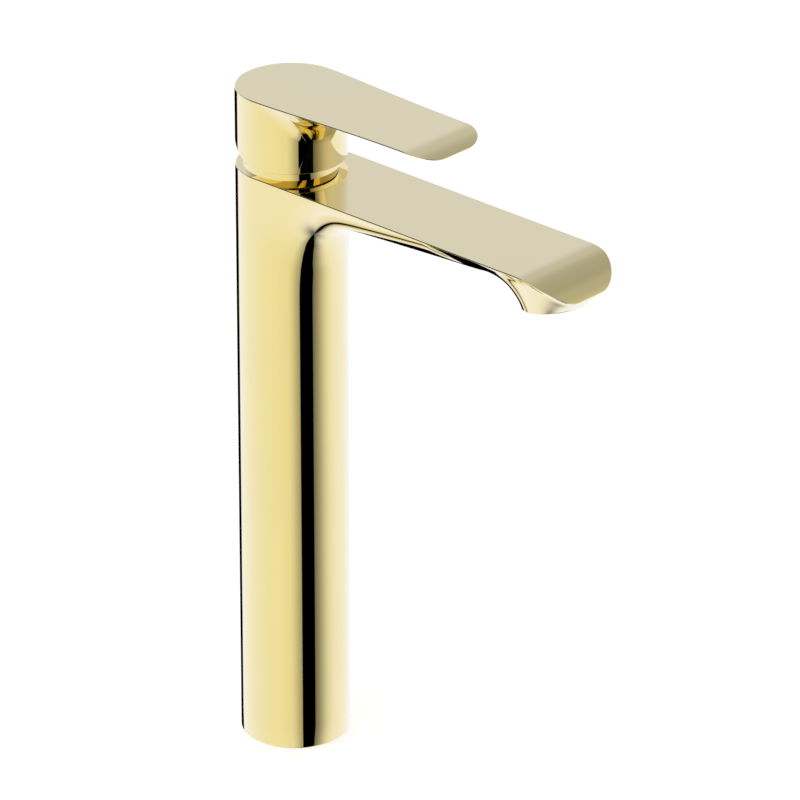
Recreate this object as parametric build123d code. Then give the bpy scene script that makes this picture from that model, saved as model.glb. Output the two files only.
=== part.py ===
"""Tall single-lever basin mixer: column and spout casting, ceramic cartridge, lever and outlet.

Millimetres, +Z up.  The origin is the centre of the base on the column's axis.
The spout and the lever point to the front, which is -Y.
"""
import math
import os

from build123d import *

# Column and spout casting
column_diameter = 48.0
body_height = 270.5
column_wall = 3.0
foot_round = 1.0
spout_reach = 168.3
spout_root_width = 47.8
spout_tip_width = 46.4
spout_root_thickness = 16.2
spout_root_station = 60.0
spout_end_thickness = 12.3
spout_end_station = 118.0
spout_edge = 0.5
spout_blend_radius = 21.0
blend_overlap = 0.4
lip_roll_radius = 26.7
lip_roll_length = 21.3
lip_corner_length = 17.8
lip_corner_width = 14.0
lip_thickness = 1.5
root_edge_angle = 70.0
end_edge_angle = 48.0
spout_trim = 1.5

# Outlet nose under the lip
outlet_setback = 18.8
outlet_drop = 19.2
outlet_tilt = 11.0
outlet_radius = 14.5
nose_side_flare = 27.0
nose_front_flare = 20.0
nose_rear_flare = 10.0
nose_rear_blend = 13.5
nose_rear_height = 13.0
nose_height = 20.0

# Water passages in the casting
chamber_depth = 34.0
chamber_radius = 19.0
seat_thickness = 12.0
thread_radius = 20.0
thread_depth = 8.5
channel_half_width = 11.5
channel_half_height = 3.6
channel_start = 15.0
channel_bend = 62.0
channel_start_drop = 17.1
channel_bend_drop = 7.4
channel_end_drop = 6.8

# Base insert, inlets and riser tubes
base_thickness = 20.0
inlet_thread_radius = 4.5
inlet_thread_length = 12.0
inlet_spread = 7.5
inlet_front = 5.0
stud_core_radius = 3.4
stud_hole_depth = 14.0
stud_spacing = 26.0
seal_margin = 1.8
seal_width = 2.4
seal_depth = 1.8
riser_radius = 5.0
riser_wall = 1.0
riser_socket_depth = 8.0
riser_seal_section = 1.5
riser_seal_setback = 3.0
passage_radius = 3.4

# Cartridge
cartridge_radius = 17.4
base_plate_thickness = 3.0
base_spigot_height = 2.0
fixed_disc_thickness = 4.0
moving_disc_thickness = 3.5
moving_disc_radius = 12.8
carrier_thickness = 6.0
carrier_half_width = 9.6
bearing_radius = 14.1
turner_flange_thickness = 2.0
turner_flange_gap = 0.3
disc_radius = 15.5
flange_radius = 18.8
flange_thickness = 4.0
housing_seal_section = 1.4
housing_neck_radius = 16.0
housing_neck_rise = 0.4
turner_top_gap = 0.9
disc_inlet_spread = 5.2
disc_inlet_front = 7.4
disc_inlet_radius = 1.9
disc_outlet_rear = 2.0
disc_outlet_radius = 3.4
mixing_cavity_radius = 7.5
mixing_cavity_depth = 2.0
inlet_cup_radius = 4.2
inlet_cup_depth = 2.5
inlet_seal_width = 1.3
inlet_seal_height = 1.5
disc_gasket_width = 1.2
disc_gasket_height = 1.0
outlet_window_width = 6.0

# Lever spindle and its pin
pivot_depth = 5.5
spindle_width = 8.0
spindle_rise = 32.0
spindle_slot_reach = 8.5
lower_arm = 11.0
lower_arm_radius = 2.0
ball_radius = 2.8
pin_radius = 1.6
pin_length = 24.0
lift_angle = 25.0
ball_pocket_floor = 1.4

# Retaining nut and cover ring
nut_height = 6.0
nut_slot_width = 4.0
nut_slot_depth = 2.0
nut_slot_count = 4
cover_radius = 20.8
cover_height = 4.0
cover_web = 1.5
cover_hole_radius = 14.6
cover_skirt = 2.0
cover_edge = 0.4

# Handle: hub and lever
hub_gap = 4.3
handle_height = 35.3
hub_wall = 2.0
handle_top_wall = 4.0
relief_angle = 25.9
relief_start = 2.9
lever_reach = 94.6
lever_shoulder_station = 18.0
lever_waist_width = 41.4
lever_waist_station = 40.0
lever_end_width = 40.6
lever_root_depth = 6.0
lever_end_depth = 4.4
lever_tip_depth = 0.4
lever_edge = 0.8
lever_trim = 1.0
lever_roll_radius = 27.0
lever_roll_length = 14.1
lever_corner_length = 12.6
lever_corner_width = 13.3
lever_edge_angle = 30.0
boss_radius = 8.5
boss_bottom = 10.5
socket_depth = 18.0
adapter_wall = 0.5
rib_half_width = 5.0
screw_height = 21.5
screw_radius = 2.5
screw_length = 8.0
screw_hex_radius = 1.25
screw_hex_depth = 3.0
plug_radius = 3.2
rib_half_height = 5.0

# Outlet fittings
aerator_radius = 12.0
aerator_length = 8.0
aerator_wall = 1.8
aerator_lip = 1.0
aerator_lip_height = 1.2
insert_length = 5.3
screen_thickness = 0.8
gasket_thickness = 2.0
gasket_inner_radius = 8.5
outlet_throat_radius = 9.0
outlet_throat_length = 5.0
insert_hole_radius = 0.9
insert_ring_pitch = 3.1
insert_ring_count = 2

# Clearances
slip = 0.05
running = 0.10
free_gap = 0.30
flat_gap = 0.10

# Derived places
column_radius = column_diameter / 2
bore_radius = column_radius - column_wall
seal_groove_outer = bore_radius - seal_margin
seal_groove_inner = seal_groove_outer - seal_width
pivot_z = body_height - pivot_depth
seat_z = body_height - chamber_depth
seat_underside = seat_z - seat_thickness
thread_z = body_height - thread_depth
edge_z = body_height - spout_edge
roll_start = spout_reach - lip_roll_length
outlet_reach = spout_reach - outlet_setback
outlet_height = body_height - outlet_drop
hub_bottom = body_height + hub_gap
handle_top = body_height + handle_height
disc_travel = 0.5 * lower_arm * (math.sin(math.radians(lift_angle)) + math.radians(lift_angle))
disc_rest = disc_travel / 2
spigot_z = seat_z + base_plate_thickness
fixed_disc_z = spigot_z + base_spigot_height
moving_disc_z = fixed_disc_z + fixed_disc_thickness
carrier_z = moving_disc_z + moving_disc_thickness
carrier_top = carrier_z + carrier_thickness
turner_z = carrier_top + turner_flange_gap
turner_shoulder = turner_z + turner_flange_thickness
housing_shoulder = turner_shoulder + flat_gap
flange_top = thread_z + free_gap
housing_top = body_height + housing_neck_rise
disc_bore_radius = disc_radius + running
nut_top = flange_top + nut_height
rail_bottom = carrier_z + turner_flange_gap
inlets = [(-inlet_spread, -inlet_front), (inlet_spread, -inlet_front)]
disc_inlets = [(-disc_inlet_spread, -disc_inlet_front), (disc_inlet_spread, -disc_inlet_front)]
studs = [(0.0, -stud_spacing / 2), (0.0, stud_spacing / 2)]
spindle_half = spindle_width / 2
socket_half = spindle_half + slip + adapter_wall + slip
boss_z = body_height + boss_bottom
screw_z = body_height + screw_height
cover_top = body_height + cover_height
outlet_plane = Plane(
    origin=(0, -outlet_reach, outlet_height),
    x_dir=(1, 0, 0),
    z_dir=(0, math.sin(math.radians(outlet_tilt)), math.cos(math.radians(outlet_tilt))),
)


def rod(radius, z0, z1, x=0.0, y=0.0):
    """Upright cylinder between two heights."""
    return Pos(x, y, z0) * Cylinder(radius, z1 - z0, align=(Align.CENTER, Align.CENTER, Align.MIN))


def tube(outer, inner, z0, z1, x=0.0, y=0.0):
    """Upright tube between two heights."""
    return rod(outer, z0, z1, x, y) - rod(inner, z0, z1, x, y)


def block(x0, x1, y0, y1, z0, z1):
    """Box between two corners."""
    return Pos((x0 + x1) / 2, (y0 + y1) / 2, (z0 + z1) / 2) * Box(x1 - x0, y1 - y0, z1 - z0)


def cross_rod(radius, axis, start, end, across, z):
    """Level cylinder along X or Y; across is its place on the other level axis."""
    turn = Rot(0, 90, 0) if axis == "X" else Rot(90, 0, 0)
    middle = (start + end) / 2
    place = Pos(middle, across, z) if axis == "X" else Pos(across, middle, z)
    return place * turn * Cylinder(radius, abs(end - start))


def rib(keel, edge, half_width, edge_angle, rise):
    """Cross-section hanging from an edge line: an elliptic arc down to the keel, open space above.

    keel and edge are (y, z) points; edge_angle is the arc's slope where it meets the edge.
    """
    angle = math.radians(edge_angle)
    pull = 4 / 3 * math.tan(angle / 4)
    down = Vector(0, keel[0] - edge[0], keel[1] - edge[1])
    depth = down.length
    down = down.normalized()
    wide = half_width / math.sin(angle)
    deep = depth / (1 - math.cos(angle))
    bottom = Vector(0, *keel)
    corner = {}
    arc = {}
    for side in (-1, 1):
        corner[side] = Vector(side * half_width, *edge)
        inward = Vector(-side * wide * math.cos(angle), 0, 0) + down * (deep * math.sin(angle))
        arc[side] = Bezier(
            corner[side],
            corner[side] + inward * pull,
            bottom + Vector(side * wide * pull, 0, 0),
            bottom,
        )
    top = {side: corner[side] - down * rise for side in (-1, 1)}
    return Face(Wire([
        arc[-1],
        arc[1],
        Line(corner[1], top[1]),
        Line(top[1], top[-1]),
        Line(top[-1], corner[-1]),
    ]))


def roll_drop(station, start, radius):
    """Fall of a top face that rolls down past a start station."""
    past = max(0.0, station - start)
    return radius - math.sqrt(radius ** 2 - past ** 2)


def top_profile(top, start, radius, length, floor, half_width):
    """Solid under a flat top whose front end rolls down."""
    centre_z = top - radius
    reach = length + (radius - length) / 2
    turn = math.asin(reach / radius)
    middle = turn / 2
    front = (-start - reach, centre_z + radius * math.cos(turn))
    halfway = (-start - radius * math.sin(middle), centre_z + radius * math.cos(middle))
    back = column_radius + column_wall
    outline = Wire([
        Line((0, back, floor), (0, back, top)),
        Line((0, back, top), (0, -start, top)),
        ThreePointArc((0, -start, top), (0, *halfway), (0, *front)),
        Line((0, *front), (0, front[0], floor)),
        Line((0, front[0], floor), (0, back, floor)),
    ])
    return extrude(Face(outline), half_width, dir=(1, 0, 0), both=True)


def tongue_plan(side_edge, corner_length, corner_width, z0, z1):
    """Plan of a tongue with two mirrored side edges and a front with soft corners, as a solid.

    side_edge gives the edge from the column's side to the corner, for side -1 or 1.
    """
    root = side_edge(1) @ 0
    end = side_edge(1) @ 1
    edges = [Line((-root.X, 0), (root.X, 0))]
    inner = end.X - corner_width
    for side in (-1, 1):
        edges.append(side_edge(side))
        quarter = 270 if side > 0 else 180
        edges.append(EllipticalCenterArc((side * inner, end.Y), corner_width, corner_length, quarter))
    front = end.Y - corner_length
    edges.append(Line((-inner, front), (inner, front)))
    return Pos(0, 0, z0) * extrude(Face(Wire(edges)), z1 - z0, dir=(0, 0, 1))


def spout_side(side):
    """One side of the spout's plan, straight from the column to the start of the lip's corner."""
    return Line((side * spout_root_width / 2, 0), (side * spout_tip_width / 2, lip_corner_length - spout_reach))


def spout_solid():
    """Spout from the column's front, round the blend and along to the lip, before it is trimmed."""
    slope = math.atan2(spout_root_thickness - spout_end_thickness, spout_end_station - spout_root_station)
    centre = column_radius - blend_overlap + spout_blend_radius

    def underside(station):
        fall = spout_root_thickness - (station - spout_root_station) * math.tan(slope)
        return body_height - fall

    centre_z = underside(centre) - spout_blend_radius / math.cos(slope)
    blend = []
    steps = 6
    last = math.pi / 2 - slope
    for step in range(steps + 1):
        turn = last * step / steps
        far = centre / math.cos(turn)
        if math.sin(turn) * far > edge_z - centre_z:
            far = (edge_z - centre_z) / math.sin(turn)
        keel = (spout_blend_radius * math.cos(turn) - centre, centre_z + spout_blend_radius * math.sin(turn))
        edge = (far * math.cos(turn) - centre, centre_z + far * math.sin(turn))
        angle = 90 + (root_edge_angle - 90) * step / steps
        blend.append(rib(keel, edge, spout_half(-edge[0]), angle, spout_trim))
    blend_end = centre - spout_blend_radius * math.sin(slope)

    straight = [blend[-1]]
    steps = 3
    for step in range(1, steps + 1):
        station = blend_end + (roll_start - blend_end) * step / steps
        angle = root_edge_angle + (end_edge_angle - root_edge_angle) * step / steps
        straight.append(rib((-station, underside(station)), (-station, edge_z), spout_half(station), angle,
                            spout_trim))

    lip = [straight[-1]]
    depth_start = edge_z - underside(roll_start)
    for step in range(1, steps + 1):
        station = roll_start + (lip_roll_length + spout_trim) * step / steps
        top = edge_z - roll_drop(station, roll_start, lip_roll_radius)
        depth = depth_start + (lip_thickness - depth_start) * step / steps
        lip.append(rib((-station, top - depth), (-station, top), spout_half(station), end_edge_angle, spout_trim))
    return loft(blend) + loft(straight) + loft(lip)


def spout_half(station):
    """Half width of the spout's top at a station in front of the axis."""
    straight = spout_reach - lip_corner_length
    taper = (spout_tip_width - spout_root_width) * min(1.0, station / straight)
    return (spout_root_width + taper) / 2 + slip


def nose_section(height):
    """Egg-shaped section of the outlet nose, parallel to the outlet face."""
    side = outlet_radius + height * math.tan(math.radians(nose_side_flare))
    front = outlet_radius + height * math.tan(math.radians(nose_front_flare))
    blend = min(height, nose_rear_height)
    rear = outlet_radius + blend * math.tan(math.radians(nose_rear_flare))
    rear += nose_rear_blend - math.sqrt(nose_rear_blend ** 2 - blend ** 2)
    quarters = [(rear, 0), (rear, 90), (front, 180), (front, 270)]
    edges = [EllipticalCenterArc((0, 0), side, length, start) for length, start in quarters]
    return outlet_plane.offset(height) * Face(Wire(edges))


def along_outlet(radius, start, end):
    """Cylinder on the outlet's tilted axis; start and end are heights above its face."""
    solid = Cylinder(radius, end - start, align=(Align.CENTER, Align.CENTER, Align.MIN))
    return outlet_plane.offset(start) * solid


def channel_section(station, drop, half_width):
    """Elliptic section of the mixed-water channel."""
    plane = Plane(origin=(0, -station, body_height - drop), x_dir=(1, 0, 0), z_dir=(0, -1, 0))
    return plane * Ellipse(half_width, channel_half_height).face()


def make_body_casting():
    """Column and spout in one casting, with the cartridge chamber and the mixed-water channel."""
    column = rod(column_radius, 0, body_height)
    column = fillet(column.edges().group_by(Axis.Z)[0], foot_round)
    floor = seat_underside - spout_blend_radius
    plan = tongue_plan(spout_side, lip_corner_length, lip_corner_width, floor, body_height + spout_trim)
    under_top = top_profile(body_height, roll_start, lip_roll_radius, lip_roll_length, floor, column_diameter)
    heights = (0.0, nose_rear_height / 3, 2 * nose_rear_height / 3, nose_rear_height, nose_height)
    nose = loft([nose_section(height) for height in heights])
    casting = column + ((spout_solid() + nose) & plan & under_top)

    casting -= rod(bore_radius, -foot_round, seat_underside)
    casting -= rod(chamber_radius, seat_z, body_height + foot_round)
    casting -= rod(thread_radius, thread_z, body_height + foot_round)
    for x, y in inlets:
        casting -= rod(passage_radius, seat_underside, seat_z, x, y)
        casting -= rod(riser_radius + slip, seat_underside, seat_underside + riser_socket_depth, x, y)
        groove = seat_underside + riser_seal_setback
        casting -= rod(riser_radius + riser_seal_section, groove, groove + riser_seal_section, x, y)
    casting -= loft([
        channel_section(channel_start, channel_start_drop, channel_half_width),
        channel_section(channel_bend, channel_bend_drop, channel_half_width),
        channel_section(outlet_reach, channel_end_drop, channel_half_width),
    ], ruled=True)
    shoulder = aerator_length + gasket_thickness
    casting -= along_outlet(aerator_radius + slip, -outlet_radius, shoulder)
    casting -= along_outlet(outlet_throat_radius, shoulder, shoulder + outlet_throat_length)
    return casting


def make_base_insert():
    """Brass foot soldered into the column: inlet threads, stud threads and the deck seal's groove."""
    insert = rod(bore_radius - slip, 0, base_thickness)
    insert -= tube(seal_groove_outer, seal_groove_inner, 0, seal_depth)
    for x, y in inlets:
        insert -= rod(inlet_thread_radius, 0, inlet_thread_length, x, y)
        insert -= rod(passage_radius, 0, base_thickness, x, y)
        socket = base_thickness - riser_socket_depth + flat_gap
        insert -= rod(riser_radius + slip, socket, base_thickness, x, y)
        groove = base_thickness - riser_seal_setback - riser_seal_section
        insert -= rod(riser_radius + riser_seal_section, groove, groove + riser_seal_section, x, y)
    for x, y in studs:
        insert -= rod(stud_core_radius, 0, stud_hole_depth, x, y)
    return insert


def make_deck_seal():
    """Flat rubber ring let into the foot."""
    return tube(seal_groove_outer - slip, seal_groove_inner + slip, 0, seal_depth - slip)


def make_riser(x, y):
    """Copper tube from the base insert up to the cartridge seat."""
    bottom = base_thickness - riser_socket_depth + 2 * flat_gap
    top = seat_underside + riser_socket_depth - flat_gap
    return tube(riser_radius, riser_radius - riser_wall, bottom, top, x, y)


def make_riser_seals():
    """A rubber ring round each end of both risers."""
    rings = []
    lower = base_thickness - riser_seal_setback - riser_seal_section
    upper = seat_underside + riser_seal_setback
    for x, y in inlets:
        for z in (lower, upper):
            outer = riser_radius + riser_seal_section - slip
            rings.append(tube(outer, riser_radius + slip, z + slip, z + riser_seal_section - slip, x, y))
    return Compound(children=[ring.solid() for ring in rings])


def make_cartridge_base():
    """Plastic base plate: two inlet cups, and a side window for the mixed water."""
    base = rod(cartridge_radius, seat_z, spigot_z)
    base += rod(disc_radius, spigot_z, fixed_disc_z)
    for (x, y), (disc_x, disc_y) in zip(inlets, disc_inlets):
        base -= rod(inlet_cup_radius, seat_z, seat_z + inlet_cup_depth, x, y)
        base -= rod(inlet_cup_radius + inlet_seal_width, seat_z, seat_z + inlet_seal_height, x, y)
        base -= rod(disc_inlet_radius, seat_z, fixed_disc_z, disc_x, disc_y)
    base -= disc_gasket(0.0)
    window = outlet_window_width / 2
    base -= rod(disc_outlet_radius, spigot_z - inlet_seal_height, fixed_disc_z, 0, disc_outlet_rear)
    base -= block(-window, window, disc_outlet_rear, cartridge_radius + column_wall,
                  spigot_z - inlet_seal_height, spigot_z)
    return base


def disc_gasket(gap):
    """Rubber rings under the fixed disc, round its inlets and its outlet."""
    z0 = fixed_disc_z - disc_gasket_height + gap
    rings = []
    ports = [(x, y, disc_inlet_radius) for x, y in disc_inlets]
    ports.append((0.0, disc_outlet_rear, disc_outlet_radius))
    for x, y, radius in ports:
        inner = radius + slip + gap
        rings.append(tube(inner + disc_gasket_width - 2 * gap, inner, z0, fixed_disc_z, x, y))
    return Compound(children=[ring.solid() for ring in rings])


def make_inlet_seals():
    """Rubber rings between the cartridge and its seat."""
    rings = []
    for x, y in inlets:
        outer = inlet_cup_radius + inlet_seal_width - slip
        rings.append(tube(outer, inlet_cup_radius, seat_z, seat_z + inlet_seal_height - slip, x, y))
    return Compound(children=[ring.solid() for ring in rings])


def make_fixed_disc():
    """Ceramic disc with the hot and cold ports and the outlet port."""
    disc = rod(disc_radius, fixed_disc_z, moving_disc_z)
    for x, y in disc_inlets:
        disc -= rod(disc_inlet_radius, fixed_disc_z, moving_disc_z, x, y)
    return disc - rod(disc_outlet_radius, fixed_disc_z, moving_disc_z, 0, disc_outlet_rear)


def make_moving_disc():
    """Ceramic disc with the mixing cavity in its underside, at rest towards the rear."""
    disc = rod(moving_disc_radius, moving_disc_z, carrier_z, 0, disc_rest)
    return disc - rod(mixing_cavity_radius, moving_disc_z, moving_disc_z + mixing_cavity_depth, 0, disc_rest)


def make_disc_carrier():
    """Plastic slide on the moving disc, with a pocket for the spindle's ball."""
    carrier = rod(moving_disc_radius, carrier_z, carrier_top, 0, disc_rest)
    reach = moving_disc_radius + disc_rest
    carrier &= block(-carrier_half_width, carrier_half_width, -reach, reach + disc_rest, carrier_z, carrier_top)
    pocket = ball_radius + 1.5 * running
    return carrier - block(-pocket, pocket, -pocket, pocket, carrier_z + ball_pocket_floor, carrier_top)


def make_turner():
    """Plastic turner: bearing barrel, retaining flange and two rails that guide the carrier."""
    flange = disc_bore_radius - free_gap
    turner = rod(flange, turner_z, turner_shoulder)
    turner += rod(bearing_radius, turner_shoulder, housing_top - turner_top_gap)
    rails = rod(flange, rail_bottom, turner_z)
    inner = carrier_half_width + flat_gap
    turner += rails - block(-inner, inner, -flange, flange, rail_bottom, turner_z)
    side = spindle_half + flat_gap
    turner -= block(-side, side, -spindle_slot_reach, spindle_slot_reach, rail_bottom, housing_top)
    return turner - cross_rod(pin_radius + slip / 5, "X", -bearing_radius, bearing_radius, 0, pivot_z)


def make_stem_pin():
    """Steel pin that the spindle rocks on."""
    return cross_rod(pin_radius, "X", -pin_length / 2, pin_length / 2, 0, pivot_z)


def make_spindle():
    """Square lever spindle with a round rocking boss, a lower arm and a ball end."""
    top = pivot_z + spindle_rise
    spindle = block(-spindle_half, spindle_half, -spindle_half, spindle_half, pivot_z, top)
    spindle += cross_rod(spindle_half, "X", -spindle_half, spindle_half, 0, pivot_z)
    spindle += rod(lower_arm_radius, pivot_z - lower_arm, pivot_z)
    spindle += Pos(0, 0, pivot_z - lower_arm) * Sphere(ball_radius)
    return spindle - cross_rod(pin_radius + slip, "X", -spindle_half, spindle_half, 0, pivot_z)


def make_housing():
    """Plastic cartridge housing: disc bore below, turner bearing above, clamping flange outside."""
    flange_z = flange_top - flange_thickness
    housing = rod(cartridge_radius, spigot_z, flange_z)
    housing += rod(flange_radius, flange_z, flange_top)
    housing += rod(housing_neck_radius, flange_top, housing_top)
    housing -= rod(disc_bore_radius, spigot_z, housing_shoulder)
    housing -= rod(bearing_radius + running, spigot_z, housing_top)
    groove = flange_z + (flange_thickness - housing_seal_section) / 2
    return housing - tube(flange_radius + slip, flange_radius - housing_seal_section, groove,
                          groove + housing_seal_section)


def make_housing_seal():
    """Rubber ring round the housing's flange."""
    groove = flange_top - (flange_thickness + housing_seal_section) / 2
    inner = flange_radius - housing_seal_section + slip
    return tube(chamber_radius - slip, inner, groove + slip, groove + housing_seal_section - slip)


def make_retaining_nut():
    """Brass nut that clamps the cartridge, with spanner slots in its top."""
    nut = tube(thread_radius - slip, housing_neck_radius + running, flange_top, nut_top)
    half = nut_slot_width / 2
    slot = block(housing_neck_radius, thread_radius, -half, half, nut_top - nut_slot_depth, nut_top)
    for index in range(nut_slot_count):
        nut -= Rot(0, 0, index * 360 / nut_slot_count) * slot
    return nut


def make_cover_ring():
    """Polished ring that hides the nut and forms the neck under the hub."""
    ring = rod(thread_radius - slip, body_height - cover_skirt, body_height)
    collar = rod(cover_radius, body_height, cover_top)
    ring += fillet(collar.edges().group_by(Axis.Z)[-1], cover_edge)
    ring -= rod(housing_neck_radius + free_gap, body_height - cover_skirt, cover_top - cover_web)
    return ring - rod(cover_hole_radius, body_height, cover_top)


def lever_side(side):
    """One side of the lever's plan, from the hub's tangent to the start of the tip's corner."""
    return Bezier(
        (side * column_radius, 0),
        (side * column_radius, -lever_shoulder_station),
        (side * lever_waist_width / 2, -lever_waist_station),
        (side * lever_end_width / 2, lever_corner_length - lever_reach),
    )


def lever_solid():
    """Lever from inside the hub to past its rolled tip, before it is trimmed."""
    start = lever_reach - lever_roll_length
    side = lever_side(1)
    steps = 4
    corner = side @ 1
    bend = -corner.Y
    past = lever_reach + lever_trim

    def section(station, half, depth):
        top = handle_top - lever_edge - roll_drop(station, start, lever_roll_radius)
        return rib((-station, top - depth), (-station, top), half + slip, lever_edge_angle,
                   lever_edge + lever_trim)

    blade = []
    for step in range(steps + 1):
        place = side @ (step / steps)
        depth = lever_root_depth + (lever_end_depth - lever_root_depth) * -place.Y / bend
        blade.append(section(-place.Y, place.X, depth))
    tip = [blade[-1]]
    for step in range(1, steps + 1):
        share = step / steps
        depth = lever_end_depth + (lever_tip_depth - lever_end_depth) * share
        tip.append(section(bend + (past - bend) * share, corner.X, depth))
    return loft(blade) + loft(tip)


def make_handle():
    """Hub and lever in one casting, hollow below, with the spindle socket and the rear relief."""
    roll_start_lever = lever_reach - lever_roll_length
    plan = tongue_plan(lever_side, lever_corner_length, lever_corner_width, hub_bottom, handle_top + lever_trim)
    under_top = top_profile(handle_top, roll_start_lever, lever_roll_radius, lever_roll_length,
                            hub_bottom, column_diameter)
    lever = lever_solid() & plan & under_top
    ceiling = handle_top - handle_top_wall
    handle = rod(column_radius, hub_bottom, handle_top) + lever
    cavity = rod(column_radius - hub_wall, hub_bottom, ceiling)
    cavity -= rod(boss_radius, boss_z, ceiling)
    cavity -= block(-rib_half_width, rib_half_width, 0, column_radius, screw_z - rib_half_height, ceiling)
    handle -= cavity
    socket_top = boss_z + socket_depth
    handle -= block(-socket_half, socket_half, -socket_half, socket_half, boss_z, socket_top)
    handle -= cross_rod(screw_radius + slip, "Y", 0, column_radius, 0, screw_z)
    handle -= cross_rod(plug_radius + slip, "Y", column_radius - hub_wall, column_radius + hub_wall, 0, screw_z)
    relief = Box(4 * column_radius, 4 * column_radius, column_diameter,
                 align=(Align.CENTER, Align.MIN, Align.MAX))
    return handle - Pos(0, relief_start, hub_bottom) * Rot(relief_angle, 0, 0) * relief


def make_stem_adapter():
    """Plastic sleeve between the spindle and the handle's socket."""
    outer = socket_half - slip
    inner = spindle_half + slip
    bottom = boss_z + flat_gap
    top = boss_z + socket_depth - flat_gap
    sleeve = block(-outer, outer, -outer, outer, bottom, top)
    sleeve -= block(-inner, inner, -inner, inner, bottom, pivot_z + spindle_rise + flat_gap)
    return sleeve - cross_rod(screw_radius + running, "Y", 0, socket_half + slip, 0, screw_z)


def make_set_screw():
    """Steel grub screw that locks the handle on the spindle."""
    start = spindle_half + slip
    screw = cross_rod(screw_radius, "Y", start, start + screw_length, 0, screw_z)
    hexagon = Pos(0, start + screw_length, screw_z) * Rot(90, 0, 0) * RegularPolygon(screw_hex_radius, 6)
    return screw - extrude(hexagon, screw_hex_depth, dir=(0, -1, 0))


def make_screw_plug():
    """Cap over the screw hole, flush with the hub's rear."""
    plug = cross_rod(plug_radius, "Y", column_radius - hub_wall + slip, column_radius + hub_wall, 0, screw_z)
    return plug & rod(column_radius, hub_bottom, handle_top)


def make_aerator_housing():
    """Threaded outlet ring with an inner lip at its mouth."""
    inner = aerator_radius - aerator_wall
    ring = along_outlet(aerator_radius, 0, aerator_length)
    ring -= along_outlet(inner, aerator_lip_height, aerator_length)
    return ring - along_outlet(inner - aerator_lip, 0, aerator_lip_height)


def pierced_disc(start, length):
    """Disc on the outlet's axis, pierced by rings of round holes."""
    disc = along_outlet(aerator_radius - aerator_wall - slip, start, start + length)
    hole = Cylinder(insert_hole_radius, length, align=(Align.CENTER, Align.CENTER, Align.MIN))
    for circle in range(insert_ring_count + 1):
        radius = circle * insert_ring_pitch
        holes = max(1, 6 * circle)
        for index in range(holes):
            turn = math.radians(360 / holes * index)
            spot = Pos(radius * math.cos(turn), radius * math.sin(turn), 0)
            disc -= outlet_plane.offset(start) * spot * hole
    return disc


def make_aerator_insert():
    """Plastic flow straightener."""
    return pierced_disc(aerator_lip_height, insert_length)


def make_aerator_screen():
    """Steel inlet screen on top of the flow straightener."""
    return pierced_disc(aerator_lip_height + insert_length, screen_thickness)


def make_aerator_gasket():
    """Rubber washer between the outlet ring and its shoulder in the casting."""
    washer = along_outlet(aerator_radius - slip, aerator_length, aerator_length + gasket_thickness)
    return washer - along_outlet(gasket_inner_radius, aerator_length, aerator_length + gasket_thickness)


parts = {
    "body_casting": make_body_casting(),
    "base_insert": make_base_insert(),
    "deck_seal": make_deck_seal(),
    "hot_riser": make_riser(*inlets[0]),
    "cold_riser": make_riser(*inlets[1]),
    "riser_seals": make_riser_seals(),
    "cartridge_base": make_cartridge_base(),
    "disc_gasket": disc_gasket(slip),
    "inlet_seals": make_inlet_seals(),
    "fixed_disc": make_fixed_disc(),
    "moving_disc": make_moving_disc(),
    "disc_carrier": make_disc_carrier(),
    "turner": make_turner(),
    "stem_pin": make_stem_pin(),
    "spindle": make_spindle(),
    "cartridge_housing": make_housing(),
    "housing_seal": make_housing_seal(),
    "retaining_nut": make_retaining_nut(),
    "cover_ring": make_cover_ring(),
    "handle": make_handle(),
    "stem_adapter": make_stem_adapter(),
    "set_screw": make_set_screw(),
    "screw_plug": make_screw_plug(),
    "aerator_housing": make_aerator_housing(),
    "aerator_insert": make_aerator_insert(),
    "aerator_screen": make_aerator_screen(),
    "aerator_gasket": make_aerator_gasket(),
}

os.makedirs("parts", exist_ok=True)
for node, shape in parts.items():
    export_step(shape, os.path.join("parts", node + ".step"))
print("disc travel", round(disc_travel, 4), "pivot height", pivot_z, "handle top", handle_top)
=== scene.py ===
"""Tall single-lever basin mixer in polished gold: its casting, lever, neck ring, outlet and studio."""
import math
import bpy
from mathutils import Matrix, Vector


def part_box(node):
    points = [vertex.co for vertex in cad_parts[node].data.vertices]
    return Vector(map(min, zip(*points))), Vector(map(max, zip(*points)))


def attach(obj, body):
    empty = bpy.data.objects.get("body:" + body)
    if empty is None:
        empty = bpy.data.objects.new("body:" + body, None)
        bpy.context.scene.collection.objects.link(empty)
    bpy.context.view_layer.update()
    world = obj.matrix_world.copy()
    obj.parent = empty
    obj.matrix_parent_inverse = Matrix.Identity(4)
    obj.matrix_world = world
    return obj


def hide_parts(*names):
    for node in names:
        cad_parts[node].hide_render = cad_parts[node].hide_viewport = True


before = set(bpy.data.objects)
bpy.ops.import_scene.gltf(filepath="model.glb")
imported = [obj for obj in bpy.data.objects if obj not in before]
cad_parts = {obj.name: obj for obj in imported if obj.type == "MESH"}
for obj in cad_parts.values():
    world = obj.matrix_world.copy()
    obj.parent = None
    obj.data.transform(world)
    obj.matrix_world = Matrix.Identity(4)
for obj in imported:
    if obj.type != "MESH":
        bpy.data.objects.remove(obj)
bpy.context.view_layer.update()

from types import SimpleNamespace

import bmesh
import bpy
import numpy as np
from bpy.props import FloatProperty, FloatVectorProperty, PointerProperty
from mathutils import Matrix, Vector

bl_info = {
    "name": "Tall basin mixer",
    "version": (1, 0, 0),
    "blender": (4, 5, 0),
    "location": "3D View > Sidebar > Mixer",
    "description": "Builds a tall single-lever basin mixer and its studio",
    "category": "Object",
}

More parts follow.
